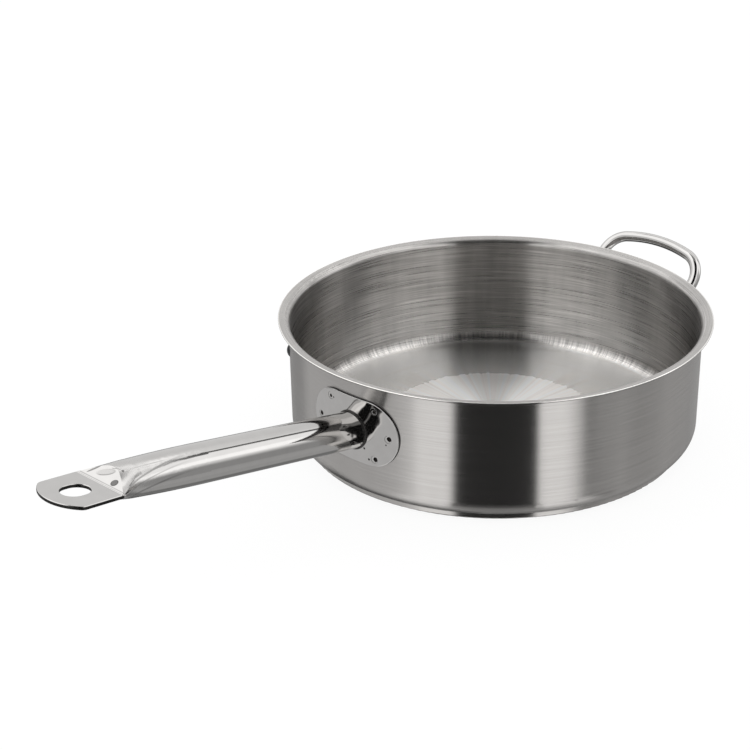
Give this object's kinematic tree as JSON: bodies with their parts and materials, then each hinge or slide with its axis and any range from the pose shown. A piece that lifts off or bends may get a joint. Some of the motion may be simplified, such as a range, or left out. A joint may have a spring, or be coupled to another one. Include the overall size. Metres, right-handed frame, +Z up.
{
  "type": "deep saute pan",
  "caption": "Round straight-sided deep pan of polished steel with a flared rim, a thick base, a long tube handle and a bent-rod helper handle.",
  "frame": {"origin": "centre of the face that the pan stands on", "axes": "+Z up out of the pan's mouth, +X out along the long handle"},
  "size_m": [0.5585, 0.296, 0.0992],
  "materials": {
    "pan_body": "satin stainless steel with fine brush lines round the pan",
    "base_cap": "bright stainless steel",
    "base_core": "plain, hidden inside the base",
    "handle": "mirror-polished stainless steel",
    "welds": "polished weld metal",
    "stud": "dark, semi-gloss"
  },
  "bodies": {
    "root": {"pan_shell": "pan_body", "base_core": "base_core", "base_cap": "base_cap", "handle_flange": "handle", "flange_spot_welds": "welds", "handle_tube": "handle", "handle_weld": "welds", "helper_loop": "handle", "helper_plate_left": "handle", "helper_plate_right": "handle", "helper_spot_welds": "welds", "helper_foot_welds": "welds", "wall_stud": "stud"}
  },
  "joints": []
}
